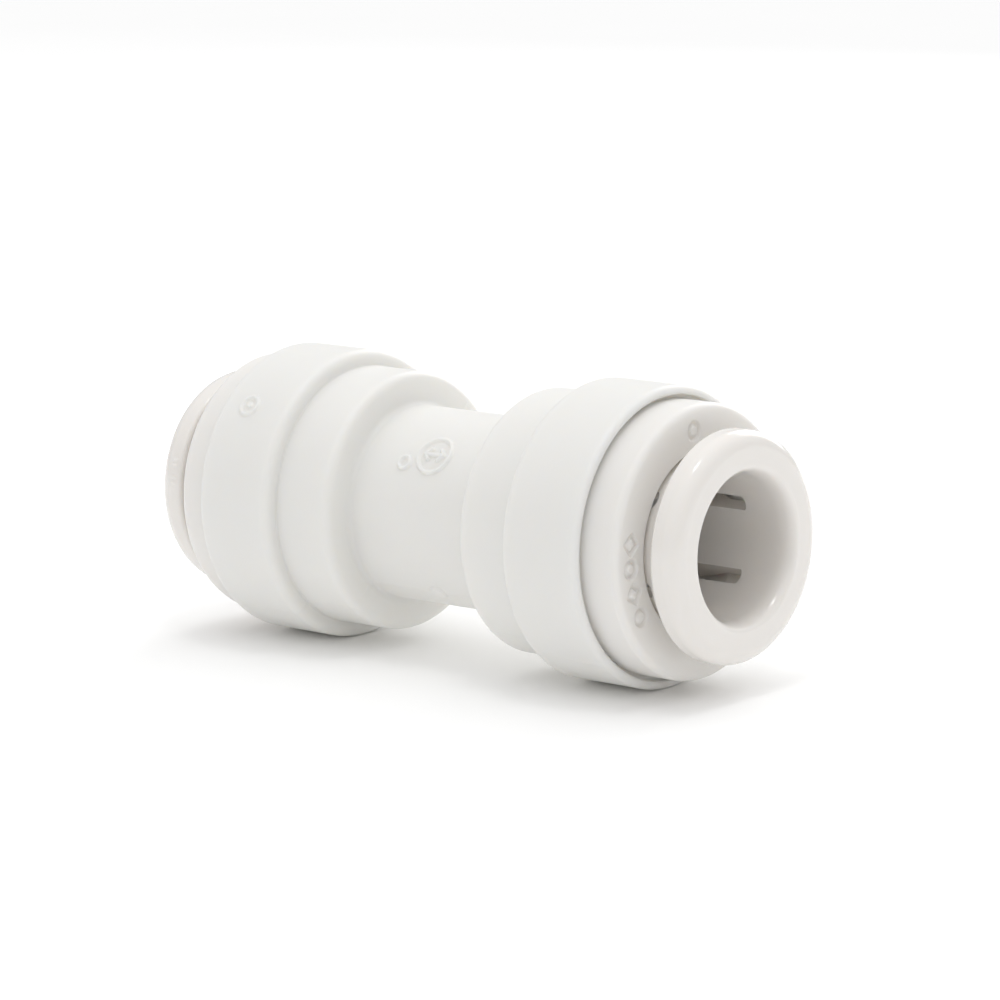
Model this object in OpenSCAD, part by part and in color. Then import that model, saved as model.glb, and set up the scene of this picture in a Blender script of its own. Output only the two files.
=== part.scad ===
// Straight push-to-connect tube fitting: a plastic union that joins two
// 3/8 in (9.525 mm) tubes in line. The axis of the tubes is X, the middle of
// the fitting is the origin, and both ends are alike. Millimetres, +Z up.
//
// Each end holds, from the tube stop outwards: an O-ring, a washer that keeps
// the O-ring in its chamber, a slotted collet with a steel tooth in each
// finger, and a cap that is pressed into the body and wedges the fingers on
// the tube. Pressing the collet into the cap frees the tube.

/* [Tube] */
// Outside diameter of the tube that plugs in
tube_d = 9.525; // [9.4:0.005:9.6]
// Room around the tube in its socket, on the diameter
tube_play = 0.175; // [0.12:0.005:0.3]
// Diameter of the waterway through the tube stop
flow_d = 7.2; // [5:0.1:8]
// Thickness of the tube stop in the middle of the body
stop_t = 2.4; // [1.6:0.1:4]

/* [Body] */
// Length of the body between the faces of its two ends
body_len = 33.3; // [33:0.1:36]
// Diameter of the large barrel at each end
barrel_d = 20; // [19.6:0.1:24]
// Diameter of the small barrel over the O-ring
small_barrel_d = 17.8; // [17:0.1:18.4]
// Diameter of the waist in the middle
waist_d = 13.26; // [12:0.02:16]
// Length of the waist
waist_len = 11.6; // [8:0.1:14]
// Distance from the middle to the shoulder of the large barrel
shoulder_x = 10.4; // [9.6:0.1:10.8]
// Radius of the rounded outer edges of the body
body_edge_r = 0.6; // [0.3:0.05:0.8]

/* [Cap] */
// Diameter of the cap where it stands out of the body
cap_d = 18.2; // [17.8:0.1:18.6]
// How far the cap stands out of the body
cap_out = 2.6; // [2.2:0.1:3]
// Diameter of the hole that the collet slides in
cap_hole_d = 12.3; // [12.2:0.05:12.5]
// Diameter of the sleeve that is pressed into the body
sleeve_d = 16.7; // [16.4:0.1:17]
// Wall of the sleeve
sleeve_wall = 1; // [0.7:0.05:1.1]

/* [Collet] */
// How far the collet can be pressed in
collet_travel = 1.5; // [0.5:0.1:1.5]
// Diameter of the flange that a finger presses on
flange_d = 15.3; // [14:0.1:16]
// Thickness of the flange
flange_t = 2.1; // [1.8:0.05:2.6]
// Diameter of the neck behind the flange
neck_d = 11.8; // [11.6:0.05:12]
// Diameter of the finger heads inside the cap
head_d = 13.9; // [13.4:0.1:14]
// Width of the slots between the fingers
slot_w = 1.1; // [0.6:0.1:1.4]
// Angle of the first slot around the axis, from +Y towards +Z
slot_angle = 23; // [0:1:59]

/* [Teeth] */
// Thickness of the steel of a tooth
tooth_t = 0.4; // [0.3:0.05:0.5]
// How far a tooth reaches into the tube's bore
tooth_bite = 0.2; // [0.1:0.01:0.22]
// Part of a turn that one tooth covers, in degrees
tooth_span = 34; // [20:1:38]

/* [Seals] */
// Diameter of the O-ring's round section
ring_section = 2.56; // [2.5:0.02:2.7]
// How far the O-ring reaches into the tube's bore
ring_squeeze = 0.23; // [0.1:0.01:0.25]

/* [Hidden] */
FINGERS = 6;
$fn = 96;

// Radii
socket_r = (tube_d + tube_play) / 2;
flow_r = flow_d / 2;
barrel_r = barrel_d / 2;
small_barrel_r = small_barrel_d / 2;
waist_r = waist_d / 2;
cap_r = cap_d / 2;
cap_hole_r = cap_hole_d / 2;
sleeve_r = sleeve_d / 2;
flange_r = flange_d / 2;
neck_r = neck_d / 2;
head_r = head_d / 2;
chamber_r = 7.05;   // O-ring chamber in the small barrel
mouth_r = 9.4;      // relief in the body's end, seen as a fine groove round the cap

// Places along the axis, from the middle to the right-hand end
waist_x = waist_len / 2;
chamber_x = 7.4;                    // floor of the O-ring chamber
washer_x = 9.9;                     // inner face of the washer
seat_x = 11.2;                      // floor of the cap's seat in the body
sleeve_x = 11.8;                    // inner end of the cap's sleeve
head_x = 13.5;                      // inner end of the collet's fingers
cone_x = 14.9;                      // where the finger heads start to narrow
neck_x = 17.2;                      // where the heads have narrowed to the neck
slot_end_x = 19.25;                 // outer end of the slots
body_x = body_len / 2;              // end face of the body
cap_seat_x = body_x - 0.65;         // step in the body that the cap rests on
cap_x = body_x + cap_out;           // end face of the cap
flange_x = cap_x + collet_travel + 0.05;
collet_x = flange_x + flange_t;     // outer end of the fitting

// Small features
waist_fillet = 0.4;
cap_edge_r = 0.5;
hole_edge = 0.15;       // chamfer on the cap's hole
flange_back_r = 0.3;
flange_front_r = 1.1;
lead_in_len = 1.4;      // flared mouth that guides the tube in
lead_in_depth = 0.6;
head_chamfer = 0.3;
washer_play = 0.1;
tooth_x = 14.1;         // inner edge of a tooth's tip
tooth_root_r = 6.2;
tooth_lean = 0.54;      // a tooth leans out by this much for each unit of radius
ARC_STEPS = 6;

// Points of a quarter-ellipse about [r, x], from angle a to angle b
function arc(r, x, semi_r, semi_x, a, b) =
    [for (i = [0:ARC_STEPS]) let (t = a + (b - a) * i / ARC_STEPS)
        [r + semi_r * cos(t), x + semi_x * sin(t)]];

// Turns a profile of [radius, place along the axis] about X
module turned(profile) {
    rotate([0, 90, 0]) rotate_extrude() polygon(profile);
}

// Outer surface and inner surface of the right-hand half of the body
module half_body() {
    e = body_edge_r;
    difference() {
        turned(concat(
            [[0, 0], [waist_r, 0]],
            arc(waist_r + waist_fillet, waist_x - waist_fillet, waist_fillet, waist_fillet, 180, 90),
            arc(small_barrel_r - e, waist_x + e, e, e, -90, 0),
            [[small_barrel_r, shoulder_x]],
            arc(barrel_r - e, shoulder_x + e, e, e, -90, 0),
            arc(barrel_r - e, body_x - e, e, e, 0, 90),
            [[0, body_x]]
        ));
        turned([
            [0, -1], [flow_r, -1],
            [flow_r, stop_t / 2], [socket_r, stop_t / 2],
            [socket_r, chamber_x], [chamber_r, chamber_x],
            [chamber_r, seat_x], [sleeve_r, seat_x],
            [sleeve_r, cap_seat_x], [mouth_r, cap_seat_x],
            [mouth_r, body_x + 1], [0, body_x + 1]
        ]);
    }
}

// Body: both halves are one moulding
module body() {
    color("whitesmoke") union() {
        half_body();
        mirror([1, 0, 0]) half_body();
    }
}

// Cap: its sleeve is pressed into the body, and its inner cone closes the fingers
module cap() {
    cone_slope = (head_r - neck_r) / (neck_x - cone_x);
    bore_r = sleeve_r - sleeve_wall;
    cap_cone_x = neck_x - (bore_r - cap_hole_r) / cone_slope;
    color("white") turned(concat(
        [[bore_r, sleeve_x], [sleeve_r, sleeve_x]],
        [[sleeve_r, cap_seat_x], [cap_r, cap_seat_x]],
        arc(cap_r - cap_edge_r, cap_x - cap_edge_r, cap_edge_r, cap_edge_r, 0, 90),
        [[cap_hole_r + hole_edge, cap_x], [cap_hole_r, cap_x - hole_edge]],
        [[cap_hole_r, neck_x], [bore_r, cap_cone_x]]
    ));
}

// Collet: flange, neck, and fingers with heads that the cap's cone wedges inwards
module collet() {
    color("snow") difference() {
        turned(concat(
            [[socket_r, head_x], [head_r - head_chamfer, head_x], [head_r, head_x + head_chamfer]],
            [[head_r, cone_x], [neck_r, neck_x], [neck_r, flange_x]],
            arc(flange_r - flange_back_r, flange_x + flange_back_r, flange_back_r, flange_back_r, -90, 0),
            arc(flange_r - flange_front_r, collet_x - flange_front_r, flange_front_r, flange_front_r, 0, 90),
            arc(socket_r + lead_in_depth, collet_x - lead_in_len, lead_in_depth, lead_in_len, 90, 180)
        ));
        for (i = [0:FINGERS - 1]) {
            rotate([slot_angle + i * 360 / FINGERS, 0, 0])
                translate([head_x - 1, 0, -slot_w / 2])
                    cube([slot_end_x - head_x + 1, head_r + 1, slot_w]);
        }
        for (i = [1:FINGERS]) tooth(i);
    }
}

// Steel tooth in the middle of finger i, leaning the way the tube goes in
module tooth(i) {
    tip_r = socket_r - tooth_bite;
    lean = (tooth_root_r - tip_r) * tooth_lean;
    width = tooth_t * sqrt(1 + tooth_lean * tooth_lean);
    color("silver")
        rotate([slot_angle + (i - 0.5) * 360 / FINGERS, 0, 0])
            rotate([0, 90, 0])
                rotate([0, 0, 90 - tooth_span / 2])
                    rotate_extrude(angle = tooth_span) polygon([
                        [tip_r, tooth_x], [tip_r, tooth_x + width],
                        [tooth_root_r, tooth_x + lean + width], [tooth_root_r, tooth_x + lean]
                    ]);
}

// O-ring, pressed flat where it meets its chamber and the washer
module o_ring() {
    middle_x = (chamber_x + washer_x) / 2;
    section_r = ring_section / 2;
    color([0.08, 0.08, 0.08]) rotate([0, 90, 0]) rotate_extrude() intersection() {
        translate([socket_r - ring_squeeze + section_r, middle_x]) circle(section_r);
        translate([0, chamber_x]) square([chamber_r, washer_x - chamber_x]);
    }
}

// Washer that keeps the O-ring in its chamber, held between the body and the cap
module seal_washer() {
    bore_r = socket_r + washer_play;
    color("gainsboro") turned([
        [bore_r, washer_x], [chamber_r - washer_play, washer_x],
        [chamber_r - washer_play, seat_x], [sleeve_r - washer_play, seat_x],
        [sleeve_r - washer_play, sleeve_x], [bore_r, sleeve_x]
    ]);
}

body();
mirror([1, 0, 0]) cap();  // cap_left
cap();  // cap_right
mirror([1, 0, 0]) collet();  // collet_left
collet();  // collet_right
mirror([1, 0, 0]) o_ring();  // o_ring_left
o_ring();  // o_ring_right
mirror([1, 0, 0]) seal_washer();  // seal_washer_left
seal_washer();  // seal_washer_right
for (i = [1:FINGERS]) {
    mirror([1, 0, 0]) tooth(i);
    tooth(i);
}
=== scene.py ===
"""Looks for the push-to-connect tube fitting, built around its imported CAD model.

X is the axis of the tubes. Lengths are in millimetres until a mesh is made.
Every moulded piece is turned about X from an outline of (x, radius) corners.
"""

import math

import bmesh
import bpy
import numpy as np
from mathutils import Matrix, Vector


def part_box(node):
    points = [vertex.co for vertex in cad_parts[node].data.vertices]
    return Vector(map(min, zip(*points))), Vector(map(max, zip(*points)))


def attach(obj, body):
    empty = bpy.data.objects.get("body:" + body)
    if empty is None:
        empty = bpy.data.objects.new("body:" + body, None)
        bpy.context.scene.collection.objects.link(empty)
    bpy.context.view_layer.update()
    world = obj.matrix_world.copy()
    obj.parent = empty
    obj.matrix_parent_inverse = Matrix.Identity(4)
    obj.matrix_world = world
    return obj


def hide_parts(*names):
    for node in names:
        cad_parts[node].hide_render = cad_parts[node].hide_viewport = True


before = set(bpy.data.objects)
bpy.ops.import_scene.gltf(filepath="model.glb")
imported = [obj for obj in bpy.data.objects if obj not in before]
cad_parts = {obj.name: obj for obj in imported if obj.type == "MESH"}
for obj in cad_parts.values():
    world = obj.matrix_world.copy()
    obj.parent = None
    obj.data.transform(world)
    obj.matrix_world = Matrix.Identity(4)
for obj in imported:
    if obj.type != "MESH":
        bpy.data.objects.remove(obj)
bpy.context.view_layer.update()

MM = 0.001

# ---------------------------------------------------------------- sizes read from the frame


def low(node, axis):
    """Where a CAD node begins along an axis of the frame."""
    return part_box(node)[0][axis] / MM


def high(node, axis):
    """Where a CAD node ends along an axis of the frame."""
    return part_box(node)[1][axis] / MM


X, Z = 0, 2
BODY_X, BARREL_R = high("body", X), high("body", Z)
SLEEVE_X, CAP_X, CAP_R = low("cap_right", X), high("cap_right", X), high("cap_right", Z)
HEAD_X, COLLET_X, FLANGE_R = low("collet_right", X), high("collet_right", X), high("collet_right", Z)
CHAMBER_X, WASHER_X = low("o_ring_right", X), low("seal_washer_right", X)
CHAMBER_R, WASHER_R = high("o_ring_right", Z), high("seal_washer_right", Z)

# ---------------------------------------------------------------- other sizes of the fitting

SOCKET_R = 4.85  # bore that takes the tube
FLOW_R = 3.6  # waterway through the tube stop
STOP_X = 1.2
WAIST_X, WAIST_R = 5.8, 6.63
SHOULDER_X, SMALL_BARREL_R = 10.4, 8.9
MOUTH_R = 9.4  # relief round the cap in the end of the body
CAP_SEAT_X = BODY_X - 0.65
SLEEVE_R, SLEEVE_BORE_R = 8.35, 7.35
SEAT_X = 11.2  # shelf for the seal washer's rim
CAP_HOLE_R = 6.15
NECK_R, NECK_X = 5.9, 17.2
HEAD_R, CONE_X = 6.95, 14.9
FLANGE_X = COLLET_X - 2.1
LEAD_IN = (1.4, 0.6)  # length and depth of the flare at the tube's way in

FINGERS = 6
FINGER_ANGLE = 2 * math.pi / FINGERS
SLOT_ANGLE = math.radians(23)  # first slot, from +Y towards +Z
SLOT_W, SLOT_END_X, SLOT_END_LEN = 1.1, 19.25, 0.25

TOOTH_X, TOOTH_T, TOOTH_LEAN = 14.1, 0.4, 0.54
TOOTH_TIP_R, TOOTH_ROOT_R = 4.65, 6.2
TOOTH_SPAN = math.radians(34)
TOOTH_POINTS = 5  # sharp points along the edge of each tooth
NOTCH_DEPTH = 0.22

# ---------------------------------------------------------------- outlines

ARC_STEP, SMALL_ARC_STEP = math.radians(13), math.radians(30)
SMALL_FILLET = 0.25
FLARE_STEPS = 12
HOLD = 0.03  # from a rounded edge to the row that keeps the flat beside it flat


def rounded(corners):
    """A closed outline through (x, radius, fillet) corners.

    A fillet is a radius, or a pair for an elliptical one: its reach along the side that comes
    in and along the side that goes out.
    """
    points = []
    for i, (x, r, fillet) in enumerate(corners):
        here = np.array((x, r))
        a = np.array(corners[i - 1][:2]) - here
        b = np.array(corners[(i + 1) % len(corners)][:2]) - here
        a, b = a / np.linalg.norm(a), b / np.linalg.norm(b)
        if isinstance(fillet, tuple):
            along, across = fillet
            first, last = here + a * along, here + b * across
            turns = np.linspace(0, math.pi / 2, FLARE_STEPS + 1)
            arc = [here + a * along * (1 - math.sin(t)) + b * across * (1 - math.cos(t)) for t in turns]
        else:
            half = math.acos(a @ b) / 2
            first, last = here + a * fillet / math.tan(half), here + b * fillet / math.tan(half)
            middle = (a + b) / np.linalg.norm(a + b)
            side = (last - first) / np.linalg.norm(last - first)
            centre = here + middle * fillet / math.sin(half)
            spread = math.pi / 2 - half
            steps = max(2, round(2 * spread / (SMALL_ARC_STEP if fillet < SMALL_FILLET else ARC_STEP)))
            turns = np.linspace(-spread, spread, steps + 1)
            arc = [centre + fillet * (side * math.sin(t) - middle * math.cos(t)) for t in turns]
        points += [first + a * HOLD, *arc, last + b * HOLD]
    return np.array(points)


def both_halves(corners):
    """Corners of a piece that is the same on both sides of the middle, from its right half's."""
    return corners + [(-x, r, fillet) for x, r, fillet in reversed(corners)]


BODY = both_halves(
    [
        (STOP_X, FLOW_R, 0.15),
        (STOP_X, SOCKET_R, 0.15),
        (CHAMBER_X, SOCKET_R, 0.2),
        (CHAMBER_X, CHAMBER_R, 0.2),
        (SEAT_X, CHAMBER_R, 0.1),
        (SEAT_X, SLEEVE_R, 0.1),
        (CAP_SEAT_X, SLEEVE_R, 0.1),
        (CAP_SEAT_X, MOUTH_R, 0.1),
        (BODY_X, MOUTH_R, 0.12),
        (BODY_X, BARREL_R, 0.44),
        (SHOULDER_X, BARREL_R, 0.6),
        (SHOULDER_X, SMALL_BARREL_R, 0.12),
        (WAIST_X, SMALL_BARREL_R, 0.6),
        (WAIST_X, WAIST_R, 0.45),
    ]
)
CONE_SLOPE = (HEAD_R - NECK_R) / (NECK_X - CONE_X)
CAP = [
    (SLEEVE_X, SLEEVE_BORE_R, 0.1),
    (NECK_X - (SLEEVE_BORE_R - CAP_HOLE_R) / CONE_SLOPE, SLEEVE_BORE_R, 0.3),
    (NECK_X, CAP_HOLE_R, 0.2),
    (CAP_X, CAP_HOLE_R, 0.15),
    (CAP_X, CAP_R, 0.5),
    (CAP_SEAT_X, CAP_R, 0.1),
    (CAP_SEAT_X, SLEEVE_R, 0.1),
    (SLEEVE_X, SLEEVE_R, 0.15),
]
COLLET = [
    (HEAD_X, SOCKET_R, 0.1),
    (COLLET_X, SOCKET_R, LEAD_IN),
    (COLLET_X, FLANGE_R, 1.1),
    (FLANGE_X, FLANGE_R, 0.3),
    (FLANGE_X, NECK_R, 0.15),
    (NECK_X, NECK_R, 0.4),
    (CONE_X, HEAD_R, 0.3),
    (HEAD_X, HEAD_R, 0.3),
]
RING_INNER_R = SOCKET_R - 0.23  # the O-ring stands a little into the tube's way
RING_ROUND = (WASHER_X - CHAMBER_X) / 2
INNER_ROUND, OUTER_ROUND = 0.96 * RING_ROUND, 0.86 * RING_ROUND  # flattened most on the outside
O_RING = [
    (CHAMBER_X, RING_INNER_R, INNER_ROUND),
    (WASHER_X, RING_INNER_R, INNER_ROUND),
    (WASHER_X, CHAMBER_R, OUTER_ROUND),
    (CHAMBER_X, CHAMBER_R, OUTER_ROUND),
]
WASHER_PLAY = 0.1
WASHER = [
    (WASHER_X, SOCKET_R + WASHER_PLAY, 0.12),
    (SLEEVE_X, SOCKET_R + WASHER_PLAY, 0.12),
    (SLEEVE_X, WASHER_R, 0.12),
    (SEAT_X, WASHER_R, 0.1),
    (SEAT_X, CHAMBER_R - WASHER_PLAY, 0.1),
    (WASHER_X, CHAMBER_R - WASHER_PLAY, 0.12),
]

# ---------------------------------------------------------------- moulded marks

# A mark is drawn on a straight stretch of an outline, as bars, rings and dots. In its own plane u runs
# along the outline and v round the axis, both in millimetres from the mark's middle.

COLUMNS = 180  # columns round a plain piece
FINE = 0.075  # spacing of rows and columns under a mark
LEAST_GAP = 0.6 * FINE  # between a fine row or column and the one before it
ON_LINE = 0.005  # a point this near to a straight stretch lies on it
STROKE_SOFT = 0.11  # width over which a stroke's edge rises


def bar(u0, v0, u1, v1, width):
    """A straight stroke from (u0, v0) to (u1, v1)."""

    def inside(u, v):
        du, dv = u1 - u0, v1 - v0
        t = np.clip(((u - u0) * du + (v - v0) * dv) / (du * du + dv * dv), 0, 1)
        return width / 2 - np.hypot(u - u0 - t * du, v - v0 - t * dv)

    return inside


def hoop(radius, width):
    """A round stroke about the mark's middle."""
    return lambda u, v: width / 2 - np.abs(np.hypot(u, v) - radius)


def dot(radius):
    """A filled disc in the mark's middle."""
    return lambda u, v: radius - np.hypot(u, v)


class Mark:
    """Strokes that stand out of an outline at a point (x, radius) and an angle from +Y towards +Z.

    The size is that of the area they lie in. A relief below 0 sinks them.
    """

    def __init__(self, at, degrees, size, relief, strokes):
        self.at = np.array(at)
        self.angle = math.radians(degrees)
        self.half_u, self.half_v = (side / 2 + STROKE_SOFT for side in size)
        self.relief = relief
        self.strokes = strokes

    def height(self, u, v):
        depth = np.max([inside(u, v) for inside in self.strokes], axis=0)
        rise = np.clip(depth / STROKE_SOFT + 0.5, 0, 1)
        return self.relief * rise * rise * (3 - 2 * rise)


def two_way_arrow(half, width):
    """Strokes of an arrow that points both ways along the axis."""
    barb = half * 0.5
    strokes = [bar(-half, 0, half, 0, width)]
    for end in (-1, 1):
        for side in (-1, 1):
            strokes.append(bar(end * half, 0, end * (half - barb), side * barb, width))
    return strokes


def twin_bars(half, apart, width):
    """Two short strokes side by side, along the outline."""
    return [bar(-half, side * apart / 2, half, side * apart / 2, width) for side in (-1, 1)]


def diamond(half, width):
    """Four strokes from corner to corner of a square that stands on one corner."""
    corners = [(half, 0), (0, half), (-half, 0), (0, -half)]
    return [bar(*corners[i - 1], *corners[i], width) for i in range(4)]


BODY_MARKS = [
    Mark((0.5, WAIST_R), 137, (3, 3), 0.2, [hoop(1.3, 0.26)] + two_way_arrow(0.8, 0.24)),
    Mark((-1.75, WAIST_R), 144, (1.3, 1.3), 0.2, [hoop(0.45, 0.24)]),
    Mark((-14.1, BARREL_R), 137, (1.8, 1.8), 0.16, [hoop(0.7, 0.26), dot(0.22)]),
    Mark((0.3, WAIST_R), -133, (1.4, 1.4), 0.16, [dot(0.6)]),
]
PARTING_LINES = [math.radians(47), math.radians(-133)]
PARTING_RELIEF, PARTING_W = 0.02, 0.14

SMALL_HOOP = [hoop(0.5, 0.28)]
SMALL_DIAMOND = diamond(0.58, 0.28)
CAP_MARK_R = (CAP_HOLE_R + CAP_R) / 2 - 0.1
CAP_MARK_RELIEF = -0.18  # sunk, to clear the collet's flange when it is pressed
CAP_MARKS = [
    Mark((CAP_X, CAP_MARK_R), degrees, (1.5, 1.5), CAP_MARK_RELIEF, strokes)
    for degrees, strokes in [
        (97, SMALL_HOOP),
        (172, SMALL_DIAMOND),
        (184, SMALL_HOOP),
        (197, SMALL_DIAMOND),
        (210, SMALL_HOOP),
    ]
]


def flange_marks(degrees):
    """Pairs of short bars on the rim of a collet."""
    at = (COLLET_X - 1.45, FLANGE_R)
    return [Mark(at, degrees + turn, (0.5, 0.7), 0.06, twin_bars(0.15, 0.4, 0.16)) for turn in (-4, 5)]


def refine(outline, marks):
    """Adds fine rows to an outline where marks lie on it."""
    points = []
    for here, after in zip(outline, np.roll(outline, -1, axis=0)):
        points.append(here)
        length = np.linalg.norm(after - here)
        way = (after - here) / length
        wanted = []
        for mark in marks:
            off = mark.at - here
            if abs(off[0] * way[1] - off[1] * way[0]) < ON_LINE and 0 < off @ way < length:
                count = math.ceil(2 * mark.half_u / FINE)
                wanted += list(off @ way + np.linspace(-mark.half_u, mark.half_u, count + 1))
        last = 0
        for s in sorted(wanted):
            if last + LEAST_GAP < s < length - LEAST_GAP:
                points.append(here + way * s)
                last = s
    return np.array(points)


def outward(outline):
    """Unit normals of a closed outline, pointing away from its inside."""
    way = np.roll(outline, -1, axis=0) - np.roll(outline, 1, axis=0)
    way /= np.linalg.norm(way, axis=1)[:, None]
    x, r = outline.T
    area = np.sum(x * np.roll(r, -1) - np.roll(x, -1) * r)
    return np.stack((way[:, 1], -way[:, 0]), axis=1) * math.copysign(1, area)


def turn_between(angle, other):
    """The turn from one angle to another, between half a turn back and half a turn on."""
    return (angle - other + math.pi) % (2 * math.pi) - math.pi


def columns(marks, lines=(), first=0.0):
    """Angles of the columns round a piece, finer under its marks and along its parting lines."""
    fine = []
    for mark in marks:
        half = mark.half_v / mark.at[1]
        fine += list(mark.angle + np.linspace(-half, half, math.ceil(2 * mark.half_v / FINE) + 1))
    for line in lines:
        fine += list(line + np.linspace(-PARTING_W, PARTING_W, 7) / BARREL_R)
    kept = []
    for angle in sorted((angle - first) % (2 * math.pi) for angle in fine):
        if not kept or angle - kept[-1] > LEAST_GAP / BARREL_R:
            kept.append(angle)
    step = 2 * math.pi / COLUMNS
    plain = [step * i for i in range(COLUMNS)]
    plain = [a for a in plain if all(abs(turn_between(a, b)) > step / 2 for b in kept)]
    return np.array(sorted(plain + kept)) + first


def relief(outline, angles, marks, lines=()):
    """Heights of the marks and parting lines over the grid of columns and rows."""
    normals = outward(outline)
    heights = np.zeros((len(angles), len(outline)))
    for mark in marks:
        normal = normals[np.argmin(np.linalg.norm(outline - mark.at, axis=1))]
        off = outline - mark.at
        u = off @ np.array((-normal[1], normal[0]))
        v = turn_between(angles, mark.angle)[:, None] * outline[:, 1]
        under = (np.abs(off @ normal) < ON_LINE) & (np.abs(u) < mark.half_u) & (np.abs(v) < mark.half_v)
        heights += np.where(under, mark.height(u[None], v), 0)
    # A parting line is on the outside only, and fades out where a face turns to the fitting's end.
    endward = normals[:, 0] * np.sign(outline[:, 0])
    outside = (normals[:, 1] > -0.1) * np.clip((0.7 - endward) / 0.4, 0, 1)
    for line in lines:
        across = np.abs(turn_between(angles, line)[:, None] * outline[:, 1])
        ridge = PARTING_RELIEF * np.clip(1.5 - across / (PARTING_W / 2), 0, 1)
        heights = np.maximum(heights, ridge * outside)
    return heights


# ---------------------------------------------------------------- meshes

MERGE = 0.004  # points nearer than this along X count as one
SAME_ANGLE = 1e-6


def mesh_object(name, verts, faces, sharp=math.pi):
    """A smooth-shaded object with its doubled points merged; edges past the sharp angle stay hard."""
    mesh = bpy.data.meshes.new(name)
    mesh.from_pydata([tuple(v) for v in verts], [], faces)
    bm = bmesh.new()
    bm.from_mesh(mesh)
    bmesh.ops.remove_doubles(bm, verts=bm.verts, dist=1e-4 * MM)
    bmesh.ops.recalc_face_normals(bm, faces=bm.faces)
    for face in bm.faces:
        face.smooth = True
    for edge in bm.edges:
        edge.smooth = edge.calc_face_angle(0) < sharp
    bm.to_mesh(mesh)
    bm.free()
    piece = bpy.data.objects.new(name, mesh)
    bpy.context.scene.collection.objects.link(piece)
    return piece


def around_x(grid, angles):
    """Points in metres from (x, radius) rows and the angles that they are turned to."""
    x, r = grid[..., 0], grid[..., 1]
    return (np.stack((x, r * np.cos(angles), r * np.sin(angles)), axis=-1) * MM).reshape(-1, 3)


def quads(columns_count, rows_count, closed):
    """Faces between neighbouring columns of a closed outline's rows."""
    faces = []
    for i in range(columns_count if closed else columns_count - 1):
        a, b = i * rows_count, (i + 1) % columns_count * rows_count
        for k in range(rows_count):
            n = (k + 1) % rows_count
            faces.append((a + k, a + n, b + n, b + k))
    return faces


def lathe(name, corners, marks=(), lines=()):
    """A ring turned about X from a closed outline, with its marks and parting lines."""
    outline = refine(rounded(corners), marks)
    angles = columns(marks, lines)
    heights = relief(outline, angles, marks, lines)
    grid = outline + outward(outline) * heights[..., None]
    verts = around_x(grid, angles[:, None])
    return mesh_object(name, verts, quads(len(angles), len(outline), closed=True))


def slot_half_width(x):
    """Half the width of a slot between fingers: full, then a rounded end, then nothing."""
    s = np.clip((x - SLOT_END_X + SLOT_END_LEN) / SLOT_END_LEN, 0, 1)
    return SLOT_W / 2 * np.sqrt(1 - s * s)


def collet(name, marks):
    """A ring turned about X, with slots that part its stem into fingers.

    Rows on the inside and the outside of the stem stand at the same stations along X, so the
    walls of the slots are plain strips between them.
    """
    outline = refine(rounded(COLLET), marks)
    in_stem = outline[:, 0] < SLOT_END_X
    stem_ends = np.argmin(in_stem), len(outline) - np.argmin(in_stem[::-1])
    inner, rest, outer = np.split(outline, stem_ends)
    chains = [np.append(inner, rest[:1], axis=0), np.append(outer[::-1], rest[-1:], axis=0)]

    slot_end = SLOT_END_X - SLOT_END_LEN * (1 - np.sin(np.linspace(0, math.pi / 2, 8)))
    plain = np.arange(HEAD_X + 0.6, slot_end[0], 0.45)
    wanted = np.sort(np.concatenate([chain[:, 0] for chain in chains] + [slot_end, plain]))
    wanted = wanted[(wanted > HEAD_X + MERGE) & (wanted <= slot_end[-1])]
    stations = wanted[np.append(np.diff(wanted) > MERGE, True)]
    sides = []
    for chain in chains:
        face = chain[chain[:, 0] < HEAD_X + MERGE]
        sides.append(np.append(face, np.stack((stations, np.interp(stations, *chain.T)), axis=1), axis=0))
    inner, outer = sides
    on_face = len(inner) - len(stations)

    rows = np.concatenate((inner, rest, outer[::-1]))
    count = len(rows)
    slot_turn = np.arcsin(slot_half_width(rows[:, 0]) / rows[:, 1]) / (FINGER_ANGLE / 2)
    angles = columns(marks, first=SLOT_ANGLE)
    grid = rows + outward(rows) * relief(rows, angles, marks)[..., None]
    verts, faces = [], []
    for finger in range(FINGERS):
        begin = SLOT_ANGLE + finger * FINGER_ANGLE
        middle = begin + FINGER_ANGLE / 2
        mine = np.flatnonzero(np.abs(angles - middle) < FINGER_ANGLE / 2 + SAME_ANGLE)
        if len(mine) and angles[mine[-1]] < begin + FINGER_ANGLE - SAME_ANGLE:
            mine = np.append(mine, 0)
        turn = turn_between(angles[mine], middle)
        turn[-1] = FINGER_ANGLE / 2
        base = len(verts)
        verts += list(around_x(grid[mine], middle + turn[:, None] * (1 - slot_turn)))
        faces += [[base + n for n in face] for face in quads(len(mine), count, closed=False)]
        for side in (base, base + (len(mine) - 1) * count):
            near_face = [*range(on_face, -1, -1), *range(count - 1, count - 2 - on_face, -1)]
            faces.append([side + n for n in near_face])
            for k in range(on_face, len(inner) - 1):
                faces.append([side + n for n in (k, k + 1, count - 2 - k, count - 1 - k)])
    return mesh_object(name, verts, faces, sharp=math.radians(35))


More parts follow.
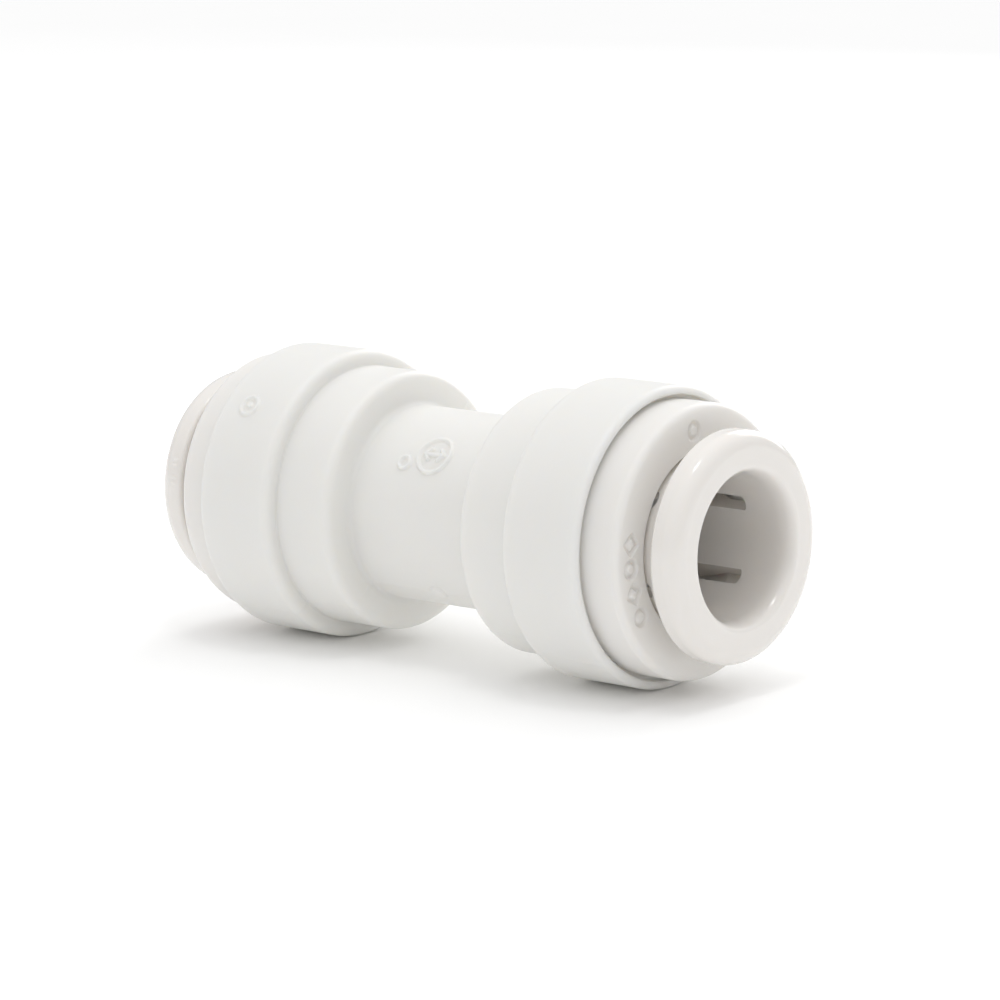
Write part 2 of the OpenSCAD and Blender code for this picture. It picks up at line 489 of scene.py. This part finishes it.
def tooth(name, index):
    """A stamped steel strip, bent round the bore, with sharp points along its inner edge."""
    lean = (TOOTH_ROOT_R - TOOTH_TIP_R) * TOOTH_LEAN
    width = TOOTH_T * math.hypot(1, TOOTH_LEAN)
    outline = rounded(
        [
            (TOOTH_X, TOOTH_TIP_R, 0.04),
            (TOOTH_X + width, TOOTH_TIP_R, 0.04),
            (TOOTH_X + lean + width, TOOTH_ROOT_R, 0.06),
            (TOOTH_X + lean, TOOTH_ROOT_R, 0.06),
        ]
    )
    steps = 12 * TOOTH_POINTS
    along = np.linspace(0, 1, steps + 1)
    notch = NOTCH_DEPTH * np.abs(2 * ((along * TOOTH_POINTS) % 1) - 1)
    near_tip = outline[:, 1] < (TOOTH_TIP_R + TOOTH_ROOT_R) / 2
    grid = outline + (notch[:, None] * near_tip)[..., None] * np.array((TOOTH_LEAN, 1))
    middle = SLOT_ANGLE + (index - 0.5) * FINGER_ANGLE
    verts = around_x(grid, middle + (along[:, None] - 0.5) * TOOTH_SPAN)
    faces = quads(len(along), len(outline), closed=False)
    for column in (0, steps):
        faces.append([column * len(outline) + k for k in range(len(outline))])
    return mesh_object(name, verts, faces, sharp=math.radians(40))


def flip(piece):
    """Mirrors a right-hand piece to make the left-hand one."""
    piece.data.transform(Matrix.Scale(-1, 4, (1, 0, 0)))
    piece.data.flip_normals()


# ---------------------------------------------------------------- materials


class Nodes:
    """A new material, with short ways to add and join its nodes."""

    def __init__(self, name):
        self.material = bpy.data.materials.new(name)
        self.material.use_nodes = True
        self.tree = self.material.node_tree
        self.shader = self.tree.nodes["Principled BSDF"]
        self.place = self.add("ShaderNodeTexCoord").outputs["Object"]

    def add(self, kind, **inputs):
        node = self.tree.nodes.new(kind)
        for key, value in inputs.items():
            node.inputs[key.replace("_", " ")].default_value = value
        return node

    def join(self, out, socket):
        self.tree.links.new(out, socket)

    def noise(self, size, detail=2.0, stretch=(1, 1, 1)):
        """Noise with features of about the given size in millimetres, from 0 to 1."""
        scale = self.add("ShaderNodeMapping")
        scale.inputs["Scale"].default_value = [1 / (size * s * MM) for s in stretch]
        self.join(self.place, scale.inputs["Vector"])
        noise = self.add("ShaderNodeTexNoise", Scale=1.0, Detail=detail)
        self.join(scale.outputs["Vector"], noise.inputs["Vector"])
        return noise.outputs["Fac"]

    def vary(self, source, socket, lowest, highest):
        """Drives a number between two values, where the noise runs through its usual range."""
        spread = self.add("ShaderNodeMapRange", From_Min=0.3, From_Max=0.7, To_Min=lowest, To_Max=highest)
        self.join(source, spread.inputs["Value"])
        self.join(spread.outputs["Result"], socket)

    def tint(self, source, first, second):
        """Drives the base colour between two colours."""
        ramp = self.add("ShaderNodeValToRGB")
        ramp.color_ramp.elements[0].position = 0.3
        ramp.color_ramp.elements[1].position = 0.7
        ramp.color_ramp.elements[0].color = (*first, 1)
        ramp.color_ramp.elements[1].color = (*second, 1)
        self.join(source, ramp.inputs["Fac"])
        self.join(ramp.outputs["Color"], self.shader.inputs["Base Color"])

    def bumps(self, *layers):
        """Bumps from (noise, depth in millimetres) layers, one over another."""
        normal = None
        for source, depth in layers:
            bump = self.add("ShaderNodeBump", Strength=1.0, Distance=depth * MM)
            self.join(source, bump.inputs["Height"])
            if normal:
                self.join(normal, bump.inputs["Normal"])
            normal = bump.outputs["Normal"]
        self.join(normal, self.shader.inputs["Normal"])


def moulded_plastic(name, colour, roughness, grain, waviness, depth=3.0, weight=0.7, shine=0.5):
    """White polypropylene, with a faint grain and waviness left by the mould.

    A share of the light, the weight, passes about the depth in millimetres under its skin.
    """
    nodes = Nodes(name)
    nodes.tint(nodes.noise(6), colour, [c * 0.985 for c in colour])
    nodes.vary(nodes.noise(1.5), nodes.shader.inputs["Roughness"], roughness - 0.02, roughness + 0.04)
    nodes.bumps((nodes.noise(3.0, 1.0), waviness), (nodes.noise(0.12, 3.0), grain))
    nodes.shader.inputs["IOR"].default_value = 1.49
    nodes.shader.inputs["Specular IOR Level"].default_value = shine
    nodes.shader.inputs["Subsurface Weight"].default_value = weight
    nodes.shader.inputs["Subsurface Radius"].default_value = (1.0, 0.9, 0.75)
    nodes.shader.inputs["Subsurface Scale"].default_value = depth * MM
    return nodes.material


def rubber(name):
    nodes = Nodes(name)
    nodes.tint(nodes.noise(1.0), (0.016, 0.016, 0.017), (0.028, 0.028, 0.028))
    nodes.vary(nodes.noise(0.6), nodes.shader.inputs["Roughness"], 0.42, 0.58)
    nodes.bumps((nodes.noise(0.08, 3.0), 0.002))
    return nodes.material


def stamped_steel(name):
    nodes = Nodes(name)
    nodes.tint(nodes.noise(0.5), (0.60, 0.59, 0.57), (0.52, 0.51, 0.50))
    nodes.vary(nodes.noise(0.3), nodes.shader.inputs["Roughness"], 0.24, 0.38)
    nodes.bumps((nodes.noise(0.06, 2.0, (20, 1, 1)), 0.0015))
    nodes.shader.inputs["Metallic"].default_value = 1.0
    return nodes.material


BODY_LOOK = {"colour": (0.825, 0.818, 0.793), "roughness": 0.40, "grain": 0.0012, "waviness": 0.006}
CAP_LOOK = {"colour": (0.825, 0.81, 0.785), "roughness": 0.38, "grain": 0.0008, "waviness": 0.005}
COLLET_LOOK = {"colour": (0.83, 0.803, 0.77), "roughness": 0.15, "grain": 0.0005, "waviness": 0.003}
WASHER_LOOK = {"colour": (0.82, 0.81, 0.79), "roughness": 0.35, "grain": 0.0008, "waviness": 0.004}
MATERIALS = {
    "body_plastic": moulded_plastic("body_plastic", **BODY_LOOK, depth=1.5, weight=0.5),
    "cap_plastic": moulded_plastic("cap_plastic", **CAP_LOOK, depth=1.5, weight=0.4),
    "collet_plastic": moulded_plastic("collet_plastic", **COLLET_LOOK, depth=1.0, weight=0.25, shine=0.8),
    "washer_plastic": moulded_plastic("washer_plastic", **WASHER_LOOK),
    "seal_rubber": rubber("seal_rubber"),
    "tooth_steel": stamped_steel("tooth_steel"),
}

# ---------------------------------------------------------------- pieces


def place(piece, node, body, slot):
    """Puts a piece in the place of its CAD node, on the body that the node belongs to."""
    piece.data.materials.append(MATERIALS[slot])
    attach(piece, body)
    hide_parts(node)


place(lathe("body_shell", BODY, BODY_MARKS, PARTING_LINES), "body", "housing", "body_plastic")

RIM_MARKS_AT = {"right": 48, "left": 168}  # degrees from +Y towards +Z
for side, rim_degrees in RIM_MARKS_AT.items():
    moving = f"{side}_collet"
    rim_marks = flange_marks(rim_degrees)
    pieces = [
        (lathe(f"cap_{side}_shell", CAP, CAP_MARKS), f"cap_{side}", "housing", "cap_plastic"),
        (lathe(f"o_ring_{side}_shell", O_RING), f"o_ring_{side}", "housing", "seal_rubber"),
        (lathe(f"seal_washer_{side}_shell", WASHER), f"seal_washer_{side}", "housing", "washer_plastic"),
        (collet(f"collet_{side}_shell", rim_marks), f"collet_{side}", moving, "collet_plastic"),
    ]
    for i in range(1, FINGERS + 1):
        pieces.append((tooth(f"tooth_{side}_{i}_strip", i), f"tooth_{side}_{i}", moving, "tooth_steel"))
    for piece, node, body, slot in pieces:
        if side == "left":
            flip(piece)
        place(piece, node, body, slot)

# ---------------------------------------------------------------- camera

VIEW_AZIMUTH, VIEW_ELEVATION, VIEW_ROLL = math.radians(40.72), math.radians(10.65), math.radians(-0.96)
VIEW_DISTANCE = 282.5
VIEW_OFFSET = (1.46, 0.685)  # of the middle of the picture from the fitting's, across and up
LENS = 150.5

back = Vector(
    (
        math.sin(VIEW_AZIMUTH) * math.cos(VIEW_ELEVATION),
        -math.cos(VIEW_AZIMUTH) * math.cos(VIEW_ELEVATION),
        math.sin(VIEW_ELEVATION),
    )
)
across = Matrix.Rotation(VIEW_ROLL, 3, back) @ Vector((0, 0, 1)).cross(back).normalized()
up = back.cross(across)
camera = bpy.data.objects.new("camera", bpy.data.cameras.new("camera"))
camera.data.lens = LENS
camera.location = (back * VIEW_DISTANCE + across * VIEW_OFFSET[0] + up * VIEW_OFFSET[1]) * MM
camera.rotation_euler = Matrix((across, up, back)).transposed().to_euler()
bpy.context.scene.collection.objects.link(camera)
bpy.context.scene.camera = camera

# ---------------------------------------------------------------- floor and light

bpy.context.scene.view_settings.view_transform = "Standard"

FLOOR_HALF = 2.0  # metres
corners = [(x * FLOOR_HALF, y * FLOOR_HALF, 0) for x, y in ((-1, -1), (1, -1), (1, 1), (-1, 1))]
floor = mesh_object("floor", corners, [(0, 1, 2, 3)])
floor.location.z = -BARREL_R * MM
paper = Nodes("paper")
paper.tint(paper.noise(40), (0.99, 0.99, 0.99), (0.985, 0.985, 0.985))
paper.shader.inputs["Roughness"].default_value = 0.9
floor.data.materials.append(paper.material)

# The sky brightens overhead, with the square of the direction's height.
SKY_LEVEL, SKY_TOP = 0.5, 1.0  # brightness at the horizon, and what is added overhead

world = bpy.data.worlds.new("studio")
world.use_nodes = True
sky = world.node_tree
sky.nodes["Background"].inputs["Color"].default_value = (1, 1, 1, 1)
direction = sky.nodes.new("ShaderNodeTexCoord")
height = sky.nodes.new("ShaderNodeSeparateXYZ")
square = sky.nodes.new("ShaderNodeMath")
square.operation = "MULTIPLY"
level = sky.nodes.new("ShaderNodeMath")
level.operation = "MULTIPLY_ADD"
level.inputs[1].default_value = SKY_TOP
level.inputs[2].default_value = SKY_LEVEL
sky.links.new(direction.outputs["Generated"], height.inputs["Vector"])
sky.links.new(height.outputs["Z"], square.inputs[0])
sky.links.new(height.outputs["Z"], square.inputs[1])
sky.links.new(square.outputs[0], level.inputs[0])
sky.links.new(level.outputs[0], sky.nodes["Background"].inputs["Strength"])
bpy.context.scene.world = world


def softbox(name, where, size, strength):
    """A square white area light turned to the fitting, with its strength in W/m2."""
    light = bpy.data.lights.new(name, "AREA")
    light.size = size * MM
    light.energy = strength * (size * MM) ** 2
    lamp = bpy.data.objects.new(name, light)
    lamp.location = Vector(where) * MM
    lamp.rotation_euler = Vector(where).to_track_quat("Z", "Y").to_euler()
    bpy.context.scene.collection.objects.link(lamp)


softbox("softbox_behind", where=(-60, 380, 180), size=260, strength=7.5)
softbox("softbox_above", where=(50, -35, 280), size=50, strength=22.0)
bpy.context.scene.cycles.diffuse_bounces = 12  # enough to light the deep bore and the slots
